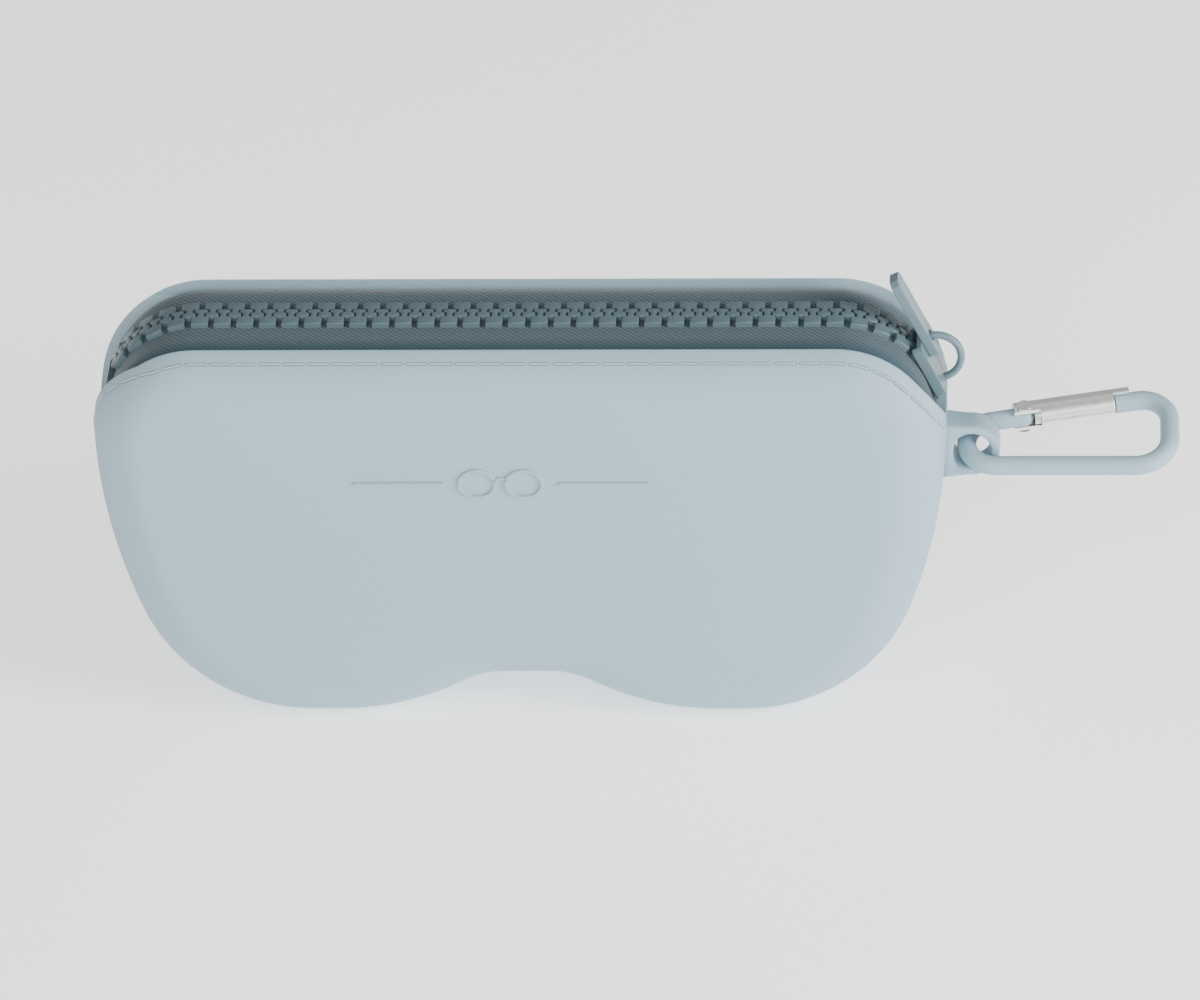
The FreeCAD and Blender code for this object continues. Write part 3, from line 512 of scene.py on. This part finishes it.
def join(target, *others):
    bm = bmesh.new()
    bm.from_mesh(target.data)
    for other in others:
        bm.from_mesh(other.data)
    bm.to_mesh(target.data)
    bm.free()
    for other in others:
        mesh = other.data
        bpy.data.objects.remove(other)
        bpy.data.meshes.remove(mesh)


loop_eye = make_object("loop_eye", *clip_loop(), silicone)
badge = make_object("badge", *emblem(), silicone)
join(body, loop_eye, badge)
smooth(body, 32)
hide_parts("silicone_body")
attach(body, "case")


# ---------------------------------------------------------------- zip tapes
def tape_path():
    """Stations along the zip, each a side, a place on the run or the corner, and a height."""
    stations = []
    for height in (54.5, 56.0, 57.5, 59.0):
        stations.append((-1, None, height))
    for k in range(30, 0, -1):
        stations.append((-1, math.radians(3 * k), None))
    for k in range(29):
        stations.append((0, -CORNER_X + 2 * CORNER_X * k / 28, None))
    for k in range(1, 31):
        stations.append((1, math.radians(3 * k), None))
    for height in (59.0, 57.5, 56.0, 54.5):
        stations.append((1, None, height))
    return stations


def tape_point(station, across, inset):
    side, where, height = station
    if side == 0:
        point, normal = surface_point(1, 0.0, across, inset)
        point.x = where
        return point
    if where is None:
        return below_corner(side, height, across, inset)[0]
    return surface_point(side, where, across, inset)[0]


def tape_gap(station):
    side, where, height = station
    if side == 0:
        return TAPE_GAP
    if where is None:
        return END_GAP
    near = math.degrees(where)
    start = 66.0 if side < 0 else 80.0
    return TAPE_GAP - (TAPE_GAP - END_GAP) * min(1.0, max(0.0, (near - start) / 8.0))


def zip_tape(sign):
    stations = tape_path()
    rings = []
    for station in stations:
        gap = tape_gap(station)
        width = 7.0 if station[1] is None else 15.1
        over = [sign * (gap + (width - gap) * k / 18) for k in range(19)]
        upper = [tuple(tape_point(station, y, WALL + 0.04)) for y in over]
        lower = [tuple(tape_point(station, y, WALL + TAPE)) for y in reversed(over)]
        rings.append(upper + lower)
    return loft(rings)


for sign, name in ((-1, "front_zip_tape"), (1, "back_zip_tape")):
    tape = make_object(name + "_cloth", *zip_tape(sign), fabric, 50)
    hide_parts(name)
    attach(tape, "case")

# ---------------------------------------------------------------- teeth
LOW = TOOTH_R - TAPE - 0.8
HIGH = TOOTH_R + 1.05
TOOTH = [(1.55, 3.9), (1.55, 1.75), (1.2, 1.45), (0.62, 1.4), (0.55, 0.15), (0.85, -0.15)]
TOOTH += [(1.2, -0.3), (1.2, -1.05), (0.85, -1.35)]


def tooth(sign, x, angle):
    """One moulded tooth, at x along the run and turned by angle round the corner there."""
    plan = [(a, b) for a, b in TOOTH] + [(-a, b) for a, b in reversed(TOOTH)]
    rings = []
    middle_y = 1.4
    for height, pull in ((LOW, 0.06), (HIGH - 0.22, 0.0), (HIGH - 0.07, 0.07), (HIGH, 0.22)):
        ring = []
        for a, b in plan:
            a2 = math.copysign(max(0.1, abs(a) - pull), a)
            away = b - middle_y
            b2 = middle_y + math.copysign(max(0.0, abs(away) - pull), away)
            out = Vector((math.sin(angle), 0, math.cos(angle)))
            along = Vector((math.cos(angle), 0, -math.sin(angle)))
            p = Vector((x, 0, CORNER_Z)) + out * height + along * a2
            ring.append((p.x, b2 * sign, p.z))
        rings.append(ring)
    return loft(rings)


def teeth(sign, offset):
    parts = []
    runs = TOOTH_PITCHES - 1 + int(round(2 * offset))
    for i in range(runs):
        parts.append(tooth(sign, -CORNER_X + PITCH * (1 - offset + i), 0.0))
    for side in (-1, 1):
        for k in range(5):
            parts.append(tooth(sign, side * CORNER_X, side * TURN * (offset + k)))
    return merge(parts)


for sign, offset, name in ((-1, 0.0, "front_zip_teeth"), (1, 0.5, "back_zip_teeth")):
    row = make_object(name + "_row", *teeth(sign, offset), plastic, 40)
    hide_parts(name)
    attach(row, "case")

# ---------------------------------------------------------------- seam threads
for sign, name in ((-1, "front_seam_thread"), (1, "back_seam_thread")):
    rods = [tube([(p - n * 0.05, n) for p, n in stitch], 0.2, 10) for stitch in stitches(sign)]
    thread = make_object(name + "_rows", *merge(rods), thread_mat, 60)
    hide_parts(name)
    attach(thread, "case")

# ---------------------------------------------------------------- carried metal pieces
CARRIED = {
    "front_top_stop": plastic,
    "back_top_stop": plastic,
    "bottom_stop": plastic,
    "slider_body": paint,
    "slider_crown": paint,
    "pull_tab": paint,
    "carabiner_frame": coat,
    "gate_tube": alloy,
    "gate_rivet": steel,
    "spring_plunger": steel,
    "spring_seat": steel,
    "gate_spring": steel,
}
for name, mat in CARRIED.items():
    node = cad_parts[name]
    node.data.materials.clear()
    node.data.materials.append(mat)
    for polygon in node.data.polygons:
        polygon.material_index = 0

# ---------------------------------------------------------------- stage
floor_mat, tree, shader = material("floor", (0.95, 0.95, 0.95), 0.9, spec=0.1)
shader.inputs["Emission Color"].default_value = (1, 1, 1, 1)
shader.inputs["Emission Strength"].default_value = 0.9
floor_mesh = bpy.data.meshes.new("floor")
FLOOR_HALF = 3.0
corners = [(-1, -1), (1, -1), (1, 1), (-1, 1)]
floor_mesh.from_pydata([(x * FLOOR_HALF, y * FLOOR_HALF, 0) for x, y in corners], [], [range(4)])
floor_mesh.materials.append(floor_mat)
floor = bpy.data.objects.new("floor", floor_mesh)
bpy.context.scene.collection.objects.link(floor)

world = bpy.data.worlds.new("studio")
bpy.context.scene.world = world
world.use_nodes = True
world.node_tree.nodes["Background"].inputs["Color"].default_value = (1, 1, 1, 1)
world.node_tree.nodes["Background"].inputs["Strength"].default_value = 0.5


def lamp(name, place, aim, size, power):
    data = bpy.data.lights.new(name, "AREA")
    data.shape = "RECTANGLE"
    data.size, data.size_y = size
    data.energy = power
    obj = bpy.data.objects.new(name, data)
    obj.location = place
    obj.rotation_euler = (Vector(aim) - Vector(place)).to_track_quat("-Z", "Y").to_euler()
    bpy.context.scene.collection.objects.link(obj)


lamp("front", (-0.15, -0.85, 0.45), (0, 0, 0.04), (0.9, 0.6), 6.8)
lamp("right", (0.75, -0.35, 0.30), (0.05, 0, 0.04), (0.3, 0.6), 12.0)
lamp("top", (0.0, 0.15, 0.9), (0, 0, 0.04), (0.8, 0.5), 0.4)

camera_data = bpy.data.cameras.new("camera")
camera_data.sensor_width = 36
camera_data.lens = 243.5
camera_data.clip_end = 10.0
camera = bpy.data.objects.new("camera", camera_data)
target = Vector((-0.0075, 0, 0.0387))
elevation = math.radians(31.0)
distance = 1.5
turned = math.radians(4.0)
level = math.cos(elevation)
back = Vector((math.sin(turned) * level, -math.cos(turned) * level, math.sin(elevation)))
camera.location = target + back * distance
aim = (target - camera.location).to_track_quat("-Z", "Y")
camera.rotation_euler = (aim @ Quaternion((0, 0, 1), math.radians(-2.1))).to_euler()
bpy.context.scene.collection.objects.link(camera)
bpy.context.scene.camera = camera
